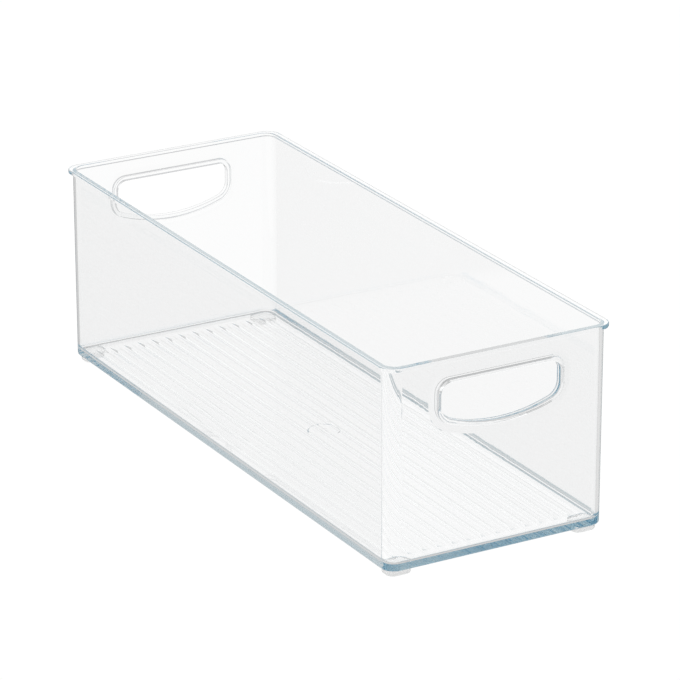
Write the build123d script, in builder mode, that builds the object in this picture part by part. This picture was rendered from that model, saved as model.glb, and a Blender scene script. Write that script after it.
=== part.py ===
from build123d import *

import os
from math import atan2, cos, degrees, radians, sin, tan

# Clear fridge bin with a handle opening in each end wall, standing on four soft corner feet.
# Frame: origin on the ground under the middle of the bin, +Z up, length along Y, front end at -Y.
# All dimensions are in millimetres.

# Overall size, over the rim and from the ground.
LENGTH = 406.0
WIDTH = 151.0
HEIGHT = 129.0

# Shell.
FOOT_HEIGHT = 4.0
WALL = 2.0
FLOOR = 3.2
WALL_DRAFT = 0.15
WALL_CORNER_RADIUS = 8.6
CAVITY_CORNER_RADIUS = 6.8
FLOOR_FILLET = 3.6
BASE_EDGE_RADIUS = 1.2

# Rim flange around the top.
RIM_OVERHANG = 2.2
RIM_THICKNESS = 2.6
RIM_CORNER_RADIUS = 9.3
RIM_EDGE_RADIUS = 0.6
RIM_INNER_RADIUS = 0.8
RIM_ROOT_RADIUS = 0.4

# Ribs standing on the floor, running lengthwise, that hold what is stored clear of drips.
# Each is a low arc in section, and its ends run out gently.
RIB_COUNT = 13
RIB_PITCH = 9.85
RIB_WIDTH = 5.6
RIB_HEIGHT = 0.5
RIB_END_GAP = 11.0
RIB_RUN_OUT = 9.0
RIB_ROOT = 0.2

# Handle opening: flat top, upright sides and a shallow arc for its lower edge.
# The drops are measured down from the top of the rim.
HANDLE_HALF_WIDTH = 39.5
HANDLE_TOP_DROP = 15.4
HANDLE_SIDE_DROP = 35.0
HANDLE_BOTTOM_DROP = 43.4
HANDLE_TOP_RADIUS = 6.0
HANDLE_LOWER_RADIUS = 9.0

# Collar around each handle opening: a rolled lip outside the end wall and a low step inside it.
COLLAR_WIDTH = 2.9
COLLAR_OUT = 2.2
COLLAR_IN = 0.7
COLLAR_EDGE_RADIUS = 1.2
COLLAR_ROOT_RADIUS = 0.6
COLLAR_INNER_RADIUS = 0.5

# Low swell in the outer face, where the end wall thickens towards the collar.
SWELL_WIDTH = 7.0
SWELL_HEIGHT = 0.6
SWELL_EDGE_RADIUS = 12.0

# Gate mark left by the moulding under the middle of the floor: a shallow dish with a nub in it.
GATE_DISH_RADIUS = 10.0
GATE_DISH_DEPTH = 0.4
GATE_DISH_TAPER = 45.0
GATE_NUB_RADIUS = 1.8
GATE_NUB_HEIGHT = 0.25

# Soft feet, each seated in a shallow recess under a corner of the base.
FOOT_LENGTH_X = 16.0
FOOT_LENGTH_Y = 13.0
FOOT_CORNER_RADIUS = 5.0
FOOT_INSET = 2.6
FOOT_RECESS = 0.3
FOOT_CLEARANCE = 0.15
FOOT_EDGE_RADIUS = 0.9

# Half-width of the band used to pick edges by their place.
EDGE_BAND = 0.02

# Sizes worked out from the driving dimensions.
shell_width = WIDTH - 2 * RIM_OVERHANG
shell_length = LENGTH - 2 * RIM_OVERHANG
shell_height = HEIGHT - FOOT_HEIGHT
base_draft = shell_height * tan(radians(WALL_DRAFT))
base_width = shell_width - 2 * base_draft
base_length = shell_length - 2 * base_draft
floor_top = FOOT_HEIGHT + FLOOR
cavity_height = HEIGHT - floor_top
floor_draft = cavity_height * tan(radians(WALL_DRAFT))
cavity_width = shell_width - 2 * WALL - 2 * floor_draft
cavity_length = shell_length - 2 * WALL - 2 * floor_draft
rib_length = cavity_length - 2 * RIB_END_GAP
collar_depth = COLLAR_IN + WALL + COLLAR_OUT
swell_taper = degrees(atan2(SWELL_WIDTH - COLLAR_WIDTH, SWELL_HEIGHT))
foot_x = base_width / 2 - FOOT_INSET - FOOT_LENGTH_X / 2
foot_y = base_length / 2 - FOOT_INSET - FOOT_LENGTH_Y / 2
foot_places = {
    "front_left_foot": (-foot_x, -foot_y),
    "front_right_foot": (foot_x, -foot_y),
    "rear_left_foot": (-foot_x, foot_y),
    "rear_right_foot": (foot_x, foot_y),
}


def end_wall_plane(side):
    """Plane of an end wall's drafted outer face: X across, Y up from the rim's top, Z outwards."""
    return Plane(
        origin=(0, side * shell_length / 2, HEIGHT),
        x_dir=(-side, 0, 0),
        z_dir=(0, side * cos(radians(WALL_DRAFT)), -sin(radians(WALL_DRAFT))),
    )


def handle_edges(builder, wall_plane, level):
    """Edges around a handle whose middles stand at a level above an end wall's outer face."""

    def around_handle(edge):
        place = wall_plane.to_local_coords(edge.center())
        across = abs(place.X) <= HANDLE_HALF_WIDTH + SWELL_WIDTH + EDGE_BAND
        below_rim = place.Y <= -RIM_THICKNESS - COLLAR_WIDTH
        above_base = place.Y >= -HANDLE_BOTTOM_DROP - 2 * SWELL_WIDTH
        return across and below_rim and above_base and abs(place.Z - level) <= EDGE_BAND

    return builder.edges().filter_by(around_handle)


# Outline of a handle opening, in an end wall's coordinates.
with BuildSketch() as handle_opening:
    with BuildLine():
        Polyline(
            (-HANDLE_HALF_WIDTH, -HANDLE_SIDE_DROP),
            (-HANDLE_HALF_WIDTH, -HANDLE_TOP_DROP),
            (HANDLE_HALF_WIDTH, -HANDLE_TOP_DROP),
            (HANDLE_HALF_WIDTH, -HANDLE_SIDE_DROP),
        )
        ThreePointArc(
            (-HANDLE_HALF_WIDTH, -HANDLE_SIDE_DROP),
            (0, -HANDLE_BOTTOM_DROP),
            (HANDLE_HALF_WIDTH, -HANDLE_SIDE_DROP),
        )
    make_face()
    fillet(handle_opening.vertices().group_by(Axis.Y)[0], radius=HANDLE_LOWER_RADIUS)
    fillet(handle_opening.vertices().group_by(Axis.Y)[-1], radius=HANDLE_TOP_RADIUS)

# Floor ribs: arcs in section, cut to length by a side profile whose ends ramp down into the floor.
with BuildPart() as ribs:
    with BuildSketch(Plane.XZ):
        with BuildLine():
            ThreePointArc((-RIB_WIDTH / 2, floor_top), (0, floor_top + RIB_HEIGHT), (RIB_WIDTH / 2, floor_top))
            Polyline(
                (RIB_WIDTH / 2, floor_top),
                (RIB_WIDTH / 2, floor_top - RIB_ROOT),
                (-RIB_WIDTH / 2, floor_top - RIB_ROOT),
                (-RIB_WIDTH / 2, floor_top),
            )
        make_face()
    extrude(amount=rib_length / 2, both=True)
    with BuildSketch(Plane.YZ):
        with BuildLine():
            Polyline(
                (-rib_length / 2, floor_top - RIB_ROOT),
                (-rib_length / 2, floor_top),
                (-rib_length / 2 + RIB_RUN_OUT, floor_top + RIB_HEIGHT),
                (rib_length / 2 - RIB_RUN_OUT, floor_top + RIB_HEIGHT),
                (rib_length / 2, floor_top),
                (rib_length / 2, floor_top - RIB_ROOT),
                close=True,
            )
        make_face()
    extrude(amount=RIB_WIDTH, both=True, mode=Mode.INTERSECT)

# Bin body: one moulding with drafted walls, a rim flange, floor ribs and a handle in each end.
with BuildPart() as bin_body:
    # Outer shell, still solid.
    with BuildSketch(Plane.XY.offset(FOOT_HEIGHT)):
        RectangleRounded(base_width, base_length, WALL_CORNER_RADIUS)
    extrude(amount=shell_height, taper=-WALL_DRAFT)
    fillet(bin_body.edges().group_by(Axis.Z)[0], radius=BASE_EDGE_RADIUS)

    # Rim flange.
    with BuildSketch(Plane.XY.offset(HEIGHT - RIM_THICKNESS)):
        RectangleRounded(WIDTH, LENGTH, RIM_CORNER_RADIUS)
    extrude(amount=RIM_THICKNESS)
    rim_underside, rim_top = bin_body.faces().filter_by(Axis.Z).sort_by(Axis.Z)[-2:]
    fillet(rim_underside.outer_wire().edges() + rim_top.outer_wire().edges(), radius=RIM_EDGE_RADIUS)
    rim_underside = bin_body.faces().filter_by(Axis.Z).sort_by(Axis.Z)[-2]
    fillet(rim_underside.inner_wires()[0].edges(), radius=RIM_ROOT_RADIUS)

    # Cavity.
    with BuildSketch(Plane.XY.offset(floor_top)):
        RectangleRounded(cavity_width, cavity_length, CAVITY_CORNER_RADIUS)
    extrude(amount=cavity_height, taper=-WALL_DRAFT, mode=Mode.SUBTRACT)
    floor_outline = bin_body.edges().filter_by_position(Axis.Z, floor_top - EDGE_BAND, floor_top + EDGE_BAND)
    fillet(floor_outline, radius=FLOOR_FILLET)
    rim_top = bin_body.faces().filter_by(Axis.Z).sort_by(Axis.Z)[-1]
    fillet(rim_top.inner_wires()[0].edges(), radius=RIM_INNER_RADIUS)

    # Handles: a collar standing proud of both faces of each end wall, then the opening through it.
    for side in (-1, 1):
        wall_plane = end_wall_plane(side)
        with BuildSketch(wall_plane.offset(-WALL - COLLAR_IN)):
            add(handle_opening.sketch)
            offset(amount=COLLAR_WIDTH)
        extrude(amount=WALL + COLLAR_IN)
        with BuildSketch(wall_plane):
            add(handle_opening.sketch)
            offset(amount=SWELL_WIDTH)
        extrude(amount=SWELL_HEIGHT, taper=swell_taper)
        fillet(handle_edges(bin_body, wall_plane, 0), radius=SWELL_EDGE_RADIUS)
        with BuildSketch(wall_plane):
            add(handle_opening.sketch)
            offset(amount=COLLAR_WIDTH)
        extrude(amount=COLLAR_OUT)
        fillet(handle_edges(bin_body, wall_plane, SWELL_HEIGHT), radius=COLLAR_ROOT_RADIUS)
        with BuildSketch(wall_plane.offset(COLLAR_OUT)):
            add(handle_opening.sketch)
        extrude(amount=-collar_depth, mode=Mode.SUBTRACT)
        fillet(handle_edges(bin_body, wall_plane, COLLAR_OUT), radius=COLLAR_EDGE_RADIUS)
        fillet(handle_edges(bin_body, wall_plane, -WALL - COLLAR_IN), radius=COLLAR_INNER_RADIUS)

    # Ribs.
    with GridLocations(RIB_PITCH, 0, RIB_COUNT, 1):
        add(ribs.part)

    # Underside: four foot recesses and the gate mark.
    with BuildSketch(Plane.XY.offset(FOOT_HEIGHT)):
        with Locations(*foot_places.values()):
            RectangleRounded(
                FOOT_LENGTH_X + 2 * FOOT_CLEARANCE,
                FOOT_LENGTH_Y + 2 * FOOT_CLEARANCE,
                FOOT_CORNER_RADIUS + FOOT_CLEARANCE,
            )
    extrude(amount=FOOT_RECESS, mode=Mode.SUBTRACT)
    with BuildSketch(Plane.XY.offset(FOOT_HEIGHT)):
        Circle(GATE_DISH_RADIUS)
    extrude(amount=GATE_DISH_DEPTH, taper=GATE_DISH_TAPER, mode=Mode.SUBTRACT)
    with BuildSketch(Plane.XY.offset(FOOT_HEIGHT + GATE_DISH_DEPTH)):
        Circle(GATE_NUB_RADIUS)
    extrude(amount=-GATE_NUB_HEIGHT)


def build_foot(place):
    """One soft foot: a rounded pad that fills its recess and stands proud of the base."""
    with BuildPart() as foot:
        with BuildSketch():
            with Locations(place):
                RectangleRounded(FOOT_LENGTH_X, FOOT_LENGTH_Y, FOOT_CORNER_RADIUS)
        extrude(amount=FOOT_HEIGHT + FOOT_RECESS)
        fillet(foot.edges().group_by(Axis.Z)[0], radius=FOOT_EDGE_RADIUS)
    return foot.part


# Export, one STEP file for each separate piece.
os.makedirs("parts", exist_ok=True)
bin_body.part.label = "bin_body"
export_step(bin_body.part, "parts/bin_body.step")
for name, place in foot_places.items():
    foot = build_foot(place)
    foot.label = name
    export_step(foot, f"parts/{name}.step")
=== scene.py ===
import math

import bmesh
import bpy
from mathutils import Matrix, Vector


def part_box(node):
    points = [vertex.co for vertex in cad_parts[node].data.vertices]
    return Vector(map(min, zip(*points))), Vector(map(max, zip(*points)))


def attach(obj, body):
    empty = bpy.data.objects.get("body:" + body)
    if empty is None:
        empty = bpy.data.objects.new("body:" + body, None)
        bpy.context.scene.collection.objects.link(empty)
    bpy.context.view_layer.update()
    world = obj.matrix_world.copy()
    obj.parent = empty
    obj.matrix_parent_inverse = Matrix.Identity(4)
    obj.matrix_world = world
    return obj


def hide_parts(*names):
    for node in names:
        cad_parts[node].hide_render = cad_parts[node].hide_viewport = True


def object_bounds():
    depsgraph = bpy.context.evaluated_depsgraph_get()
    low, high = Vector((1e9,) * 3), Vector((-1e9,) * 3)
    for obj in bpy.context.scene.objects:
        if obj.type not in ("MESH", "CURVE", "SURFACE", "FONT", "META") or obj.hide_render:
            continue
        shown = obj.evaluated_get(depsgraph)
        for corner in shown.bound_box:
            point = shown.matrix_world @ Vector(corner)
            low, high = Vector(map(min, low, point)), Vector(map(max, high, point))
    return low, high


# Clear fridge bin: the moulded body keeps its CAD shape, and the four soft feet are built here.
# Lengths are in metres unless a name ends in _MM.
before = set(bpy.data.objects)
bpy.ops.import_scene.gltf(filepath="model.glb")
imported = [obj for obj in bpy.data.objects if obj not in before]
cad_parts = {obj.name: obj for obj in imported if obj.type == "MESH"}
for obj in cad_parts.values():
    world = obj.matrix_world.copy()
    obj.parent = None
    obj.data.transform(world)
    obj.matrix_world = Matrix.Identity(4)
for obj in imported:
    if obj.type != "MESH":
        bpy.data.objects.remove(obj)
CAD_LOW, CAD_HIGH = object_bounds()
CENTRE = (CAD_LOW + CAD_HIGH) / 2
HALF = (CAD_HIGH - CAD_LOW) / 2
MM = 0.001

# Camera: a long lens from the front left, looking slightly down. Angles in degrees.
CAMERA_AZIMUTH = -29.665
CAMERA_ELEVATION = 21.185
CAMERA_ROLL = -0.061
CAMERA_DISTANCE = 2.6167
CAMERA_AIM = Vector((0.00761, -0.00409, 0.00054))
CAMERA_LENS_MM = 228.06
CAMERA_CLIP = (0.05, 60.0)
SENSOR_WIDTH_MM = 36.0

# Light crosses the clear plastic many times before it leaves.
LIGHT_BOUNCES = 512

# Half the side of the square floor.
FLOOR_HALF = 12.0

# Brightness of the white studio where it is seen directly, and of the floor seen through the bin.
STUDIO_SEEN = 1.02
FLOOR_THROUGH = 1.0

# Painted brightness of the floor's glow where it is mirrored in the bin, under it and on each side of it:
# painted grey levels that stand in for the studio's darker parts. The outer levels are for the bin's
# outside, and the inner ones for light that has also crossed plastic.
FLOOR_UNDER = 0.66
FLOOR_OUTER = {"left": 0.38, "right": 0.2, "front": 0.3, "back_left": 0.64, "back": 0.1}
FLOOR_INNER = {"left": 0.8, "right": 0.8, "front": 0.6, "back_left": 0.6, "back": 0.6}
FLOOR_BLEND = 0.02

# The dome's brightness by the height of the direction, from level (0) to straight up (1).
DOME_LEVELS = [(0.0, 1.0), (0.4, 1.22), (0.62, 0.8), (1.0, 0.75)]
DOME_TWICE_MIRRORED = 0.6

# Clear plastic: its tint deepens with the path inside it, and moulding has left slow waves and a haze.
# Finer ripples lie round the handles, within about RIPPLE_REACH of RIPPLE_CENTRE on each axis.
PLASTIC_IOR = 1.57
PLASTIC_TINT = (0.744, 0.88, 0.934, 1.0)
PLASTIC_TINT_DENSITY = 5.4
WAVE_SCALE = 28.0
WAVE_DEPTH = 0.00003
RIPPLE_SCALE = 170.0
RIPPLE_SHARE = 0.8
RIPPLE_CENTRE = (0.0, 0.0, 0.1)
RIPPLE_REACH = (0.055, 10.0, 0.04)
RIPPLE_FADE = (0.9, 1.3)
HAZE_SCALE = 60.0
HAZE_ROUGHNESS = 0.012
HAZE_NOISE = (0.45, 0.75)

# Soft feet: clear, with a fine satin grain and a faint cloudiness.
FOOT_IOR = 1.3
FOOT_CLARITY = 0.97
FOOT_COLOURS = [(0.96, 0.98, 0.98, 1.0), (1.0, 1.0, 1.0, 1.0)]
FOOT_CLOUD_SCALE = 180.0
FOOT_GRAIN_SCALE = 2600.0
FOOT_GRAIN_STRENGTH = 0.25
FOOT_GRAIN_DEPTH = 0.05 * MM
FOOT_ROUGHNESS = (0.1, 0.2)

# Their shape, and the gap left above them so that no two clear surfaces coincide.
FOOT_CORNER_RADIUS = 5.0 * MM
FOOT_EDGE_RADIUS = 0.9 * MM
FOOT_TOP_RADIUS = 0.25 * MM
FOOT_SEAT_GAP = 0.05 * MM
CORNER_STEPS = 12
EDGE_STEPS = 6
SHARP_DEGREES = 40.0

WHITE = (1.0, 1.0, 1.0, 1.0)


class Graph:
    """Short names for building a node tree."""

    def __init__(self, tree):
        self.tree = tree
        tree.nodes.clear()

    def add(self, kind, inputs=None, **settings):
        """Adds a node. Each input is given a value, or linked if it is another node's socket."""
        node = self.tree.nodes.new(kind)
        for key, value in settings.items():
            setattr(node, key, value)
        for key, value in (inputs or {}).items():
            if isinstance(value, bpy.types.NodeSocket):
                self.tree.links.new(value, node.inputs[key])
            else:
                node.inputs[key].default_value = value
        return node

    def between(self, factor, low, high, start=0.0, end=1.0, **settings):
        """A number that goes from low to high as factor goes from start to end."""
        inputs = {"Value": factor, "From Min": start, "From Max": end, "To Min": low, "To Max": high}
        return self.add("ShaderNodeMapRange", inputs, **settings).outputs["Result"]

    def grey_ramp(self, factor, stops):
        """A grey that follows the (position, level) stops."""
        node = self.add("ShaderNodeValToRGB", {"Fac": factor})
        elements = node.color_ramp.elements
        while len(elements) < len(stops):
            elements.new(1.0)
        for element, (position, level) in zip(elements, stops):
            element.position = position
            element.color = (level, level, level, 1.0)
        return node.outputs["Color"]

    def noise(self, scale, detail, roughness=0.5):
        """Noise in the object's own coordinates, so that it doesn't depend on the view."""
        place = self.add("ShaderNodeTexCoord").outputs["Object"]
        inputs = {"Vector": place, "Scale": scale, "Detail": detail, "Roughness": roughness}
        return self.add("ShaderNodeTexNoise", inputs).outputs["Fac"]


def new_material(name):
    material = bpy.data.materials.new(name)
    material.use_nodes = True
    return material, Graph(material.node_tree)


def make_camera():
    data = bpy.data.cameras.new("camera")
    data.sensor_width = SENSOR_WIDTH_MM
    data.lens = CAMERA_LENS_MM
    data.clip_start, data.clip_end = CAMERA_CLIP
    camera = bpy.data.objects.new("camera", data)
    bpy.context.scene.collection.objects.link(camera)
    azimuth = math.radians(CAMERA_AZIMUTH)
    elevation = math.radians(CAMERA_ELEVATION)
    level = math.cos(elevation)
    back = Vector((math.sin(azimuth) * level, -math.cos(azimuth) * level, math.sin(elevation)))
    turn = (-back).to_track_quat("-Z", "Y").to_matrix()
    roll = Matrix.Rotation(math.radians(CAMERA_ROLL), 3, "Z")
    place = Matrix.Translation(CENTRE + CAMERA_AIM + back * CAMERA_DISTANCE)
    camera.matrix_world = place @ (turn @ roll).to_4x4()
    bpy.context.scene.camera = camera


def make_dome():
    """White studio all round, dimmer overhead, and dimmer again for light mirrored twice or more."""
    world = bpy.data.worlds.new("studio_dome")
    bpy.context.scene.world = world
    world.use_nodes = True
    g = Graph(world.node_tree)
    direction = g.add("ShaderNodeTexCoord").outputs["Generated"]
    height = g.add("ShaderNodeSeparateXYZ", {"Vector": direction}).outputs["Z"]
    path = g.add("ShaderNodeLightPath").outputs
    strength = g.between(path["Glossy Depth"], 1.0, DOME_TWICE_MIRRORED, 1.0, 2.0)
    lit = g.add("ShaderNodeBackground", {"Color": g.grey_ramp(height, DOME_LEVELS), "Strength": strength})
    seen = g.add("ShaderNodeBackground", {"Color": WHITE, "Strength": STUDIO_SEEN})
    mixed = g.add("ShaderNodeMixShader", {0: path["Is Camera Ray"], 1: lit.outputs[0], 2: seen.outputs[0]})
    g.add("ShaderNodeOutputWorld", {"Surface": mixed.outputs[0]})


def floor_material():
    """Glowing white floor, not lit paper. Mirrored in the bin its glow is painted grey, as the dark parts
    of a studio look.
    """
    material, g = new_material("floor_glow_painted_levels")
    path = g.add("ShaderNodeLightPath").outputs
    place = g.add("ShaderNodeTexCoord").outputs["Object"]
    place = g.add("ShaderNodeSeparateXYZ", {"Vector": place}).outputs

    def across(axis, edge, low, high):
        start = edge - FLOOR_BLEND
        end = edge + FLOOR_BLEND
        return g.between(place[axis], low, high, start, end, interpolation_type="SMOOTHSTEP")

    def footprint(left, right, front, back_left, back):
        """One level on each side of the bin, one past its rear left corner, and one under it."""
        level = across("X", -HALF.x, left, FLOOR_UNDER)
        level = across("X", HALF.x, level, right)
        level = across("Y", -HALF.y, front, level)
        return across("Y", HALF.y, level, across("X", -HALF.x, back_left, back))

    mirrored = g.between(path["Transmission Depth"], footprint(**FLOOR_OUTER), footprint(**FLOOR_INNER))
    level = g.between(path["Glossy Depth"], FLOOR_THROUGH, mirrored)
    level = g.between(path["Is Camera Ray"], level, STUDIO_SEEN)
    # The floor is lit by no lamp: it glows, with the painted levels above for mirrored and through-plastic
    # rays.
    painted_floor_glow = g.add("ShaderNodeEmission", {"Color": WHITE, "Strength": level})
    g.add("ShaderNodeOutputMaterial", {"Surface": painted_floor_glow.outputs[0]})
    return material


def make_floor():
    mesh = bpy.data.meshes.new("floor")
    corners = [(-1, -1), (1, -1), (1, 1), (-1, 1)]
    mesh.from_pydata([(FLOOR_HALF * x, FLOOR_HALF * y, 0) for x, y in corners], [], [(0, 1, 2, 3)])
    mesh.materials.append(floor_material())
    floor = bpy.data.objects.new("floor", mesh)
    bpy.context.scene.collection.objects.link(floor)
    floor.location.z = CAD_LOW.z


def clear_plastic():
    """Moulded clear plastic: glassy, with slow waves, a trace of haze and a blue-green depth tint."""
    material, g = new_material("clear_plastic_moulded")
    waves = g.noise(WAVE_SCALE, 2.0)
    ripples = g.noise(RIPPLE_SCALE, 1.0)
    place = g.add("ShaderNodeTexCoord").outputs["Object"]
    place = g.add("ShaderNodeVectorMath", {0: place, 1: RIPPLE_CENTRE}, operation="SUBTRACT").outputs[0]
    place = g.add("ShaderNodeVectorMath", {0: place, 1: RIPPLE_REACH}, operation="DIVIDE").outputs[0]
    reach = g.add("ShaderNodeVectorMath", {0: place}, operation="LENGTH").outputs["Value"]
    share = g.between(reach, RIPPLE_SHARE, 0.0, *RIPPLE_FADE)
    height = g.add("ShaderNodeMath", {0: ripples, 1: share, 2: waves}, operation="MULTIPLY_ADD").outputs[0]
    bump = g.add("ShaderNodeBump", {"Strength": 1.0, "Distance": WAVE_DEPTH, "Height": height})
    haze = g.between(g.noise(HAZE_SCALE, 4.0), 0.0, HAZE_ROUGHNESS, *HAZE_NOISE)
    shader = g.add(
        "ShaderNodeBsdfPrincipled",
        {
            "Base Color": WHITE,
            "Roughness": haze,
            "IOR": PLASTIC_IOR,
            "Transmission Weight": 1.0,
            "Normal": bump.outputs[0],
        },
    )
    tint = g.add("ShaderNodeVolumeAbsorption", {"Color": PLASTIC_TINT, "Density": PLASTIC_TINT_DENSITY})
    g.add("ShaderNodeOutputMaterial", {"Surface": shader.outputs[0], "Volume": tint.outputs[0]})
    return material


def soft_foot():
    """Soft clear pad with a fine satin grain."""
    material, g = new_material("soft_clear_pad")
    grain = g.noise(FOOT_GRAIN_SCALE, 3.0)
    relief = {"Strength": FOOT_GRAIN_STRENGTH, "Distance": FOOT_GRAIN_DEPTH, "Height": grain}
    bump = g.add("ShaderNodeBump", relief)
    dull, bright = FOOT_COLOURS
    cloud = {"Factor": g.noise(FOOT_CLOUD_SCALE, 3.0), "A": dull, "B": bright}
    colour = g.add("ShaderNodeMix", cloud, data_type="RGBA")
    shader = g.add(
        "ShaderNodeBsdfPrincipled",
        {
            "Base Color": colour.outputs["Result"],
            "Roughness": g.between(grain, *FOOT_ROUGHNESS),
            "IOR": FOOT_IOR,
            "Transmission Weight": FOOT_CLARITY,
            "Normal": bump.outputs[0],
        },
    )
    g.add("ShaderNodeOutputMaterial", {"Surface": shader.outputs[0]})
    return material


def rounded_outline(half_x, half_y, radius):
    """Points of a rounded rectangle, anticlockwise."""
    points = []
    for quarter, (sx, sy) in enumerate([(1, 1), (-1, 1), (-1, -1), (1, -1)]):
        for step in range(CORNER_STEPS + 1):
            angle = math.radians(90 * (quarter + step / CORNER_STEPS))
            x = sx * (half_x - radius) + radius * math.cos(angle)
            y = sy * (half_y - radius) + radius * math.sin(angle)
            points.append((x, y))
    return points


def foot_profile(height):
    """(inset, height) from the rolled lower edge up to the lightly rounded top edge."""
    profile = []
    for step in range(EDGE_STEPS + 1):
        angle = math.radians(90 * step / EDGE_STEPS)
        profile.append((FOOT_EDGE_RADIUS * (1 - math.sin(angle)), FOOT_EDGE_RADIUS * (1 - math.cos(angle))))
    for step in range(EDGE_STEPS + 1):
        angle = math.radians(90 * step / EDGE_STEPS)
        rise = height - FOOT_TOP_RADIUS * (1 - math.sin(angle))
        profile.append((FOOT_TOP_RADIUS * (1 - math.cos(angle)), rise))
    return profile


def make_foot(name, material):
    """A rounded pad where the CAD foot is."""
    low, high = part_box(name)
    middle = (low + high) / 2
    half = (high - low) / 2
    mesh = bpy.data.meshes.new(f"{name}_pad")
    bm = bmesh.new()
    rings = []
    for inset, rise in foot_profile(high.z - low.z - FOOT_SEAT_GAP):
        outline = rounded_outline(half.x - inset, half.y - inset, FOOT_CORNER_RADIUS - inset)
        rings.append([bm.verts.new((middle.x + x, middle.y + y, low.z + rise)) for x, y in outline])
    for lower, upper in zip(rings, rings[1:]):
        for i in range(len(lower)):
            j = (i + 1) % len(lower)
            bm.faces.new((lower[i], lower[j], upper[j], upper[i]))
    bm.faces.new(list(reversed(rings[0])))
    bm.faces.new(rings[-1])
    bm.to_mesh(mesh)
    bm.free()
    mesh.shade_smooth()
    mesh.set_sharp_from_angle(angle=math.radians(SHARP_DEGREES))
    mesh.materials.append(material)
    foot = bpy.data.objects.new(f"{name}_pad", mesh)
    bpy.context.scene.collection.objects.link(foot)
    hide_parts(name)
    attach(foot, "root")


scene = bpy.context.scene
scene.view_settings.view_transform = "Standard"
scene.view_settings.look = "None"
scene.cycles.max_bounces = LIGHT_BOUNCES
scene.cycles.glossy_bounces = LIGHT_BOUNCES
scene.cycles.transmission_bounces = LIGHT_BOUNCES

make_camera()
make_dome()
make_floor()
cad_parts["bin_body"].material_slots[0].material = clear_plastic()
pad = soft_foot()
for name in sorted(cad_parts):
    if name.endswith("_foot"):
        make_foot(name, pad)
